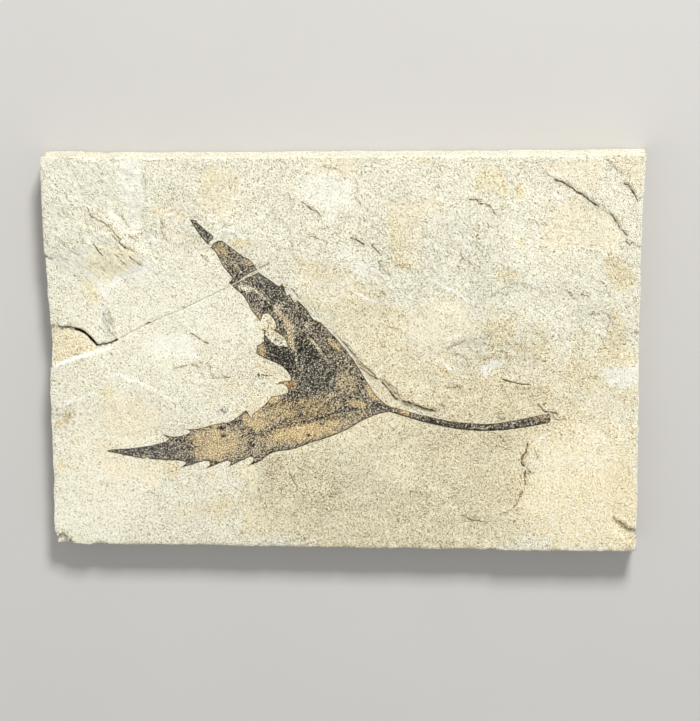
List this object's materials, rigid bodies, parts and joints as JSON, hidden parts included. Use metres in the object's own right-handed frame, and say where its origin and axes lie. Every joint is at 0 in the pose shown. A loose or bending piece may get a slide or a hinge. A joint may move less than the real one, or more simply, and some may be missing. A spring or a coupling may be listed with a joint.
{
  "type": "fossil leaf plate",
  "caption": "Flat slab of pale laminated limestone with a two-lobed toothed leaf and its long stalk pressed on the split upper face.",
  "frame": {"origin": "middle of the plate's back, on the surface that it rests on", "axes": "+X along the plate from the leaf's lobes towards the end of its stalk, +Y across it towards the sawn edge, +Z out of the leaf's face"},
  "size_m": [0.2304, 0.158, 0.0137],
  "materials": {
    "limestone": "matte split limestone, cream with tan and ochre stains",
    "leaf_film": "dark brown and charcoal carbon film, speckled with bare stone"
  },
  "bodies": {
    "root": {"slab": "limestone", "leaf_blade": "leaf_film", "leaf_lobe_end": "leaf_film", "leaf_lobe_tip": "leaf_film"}
  },
  "joints": []
}
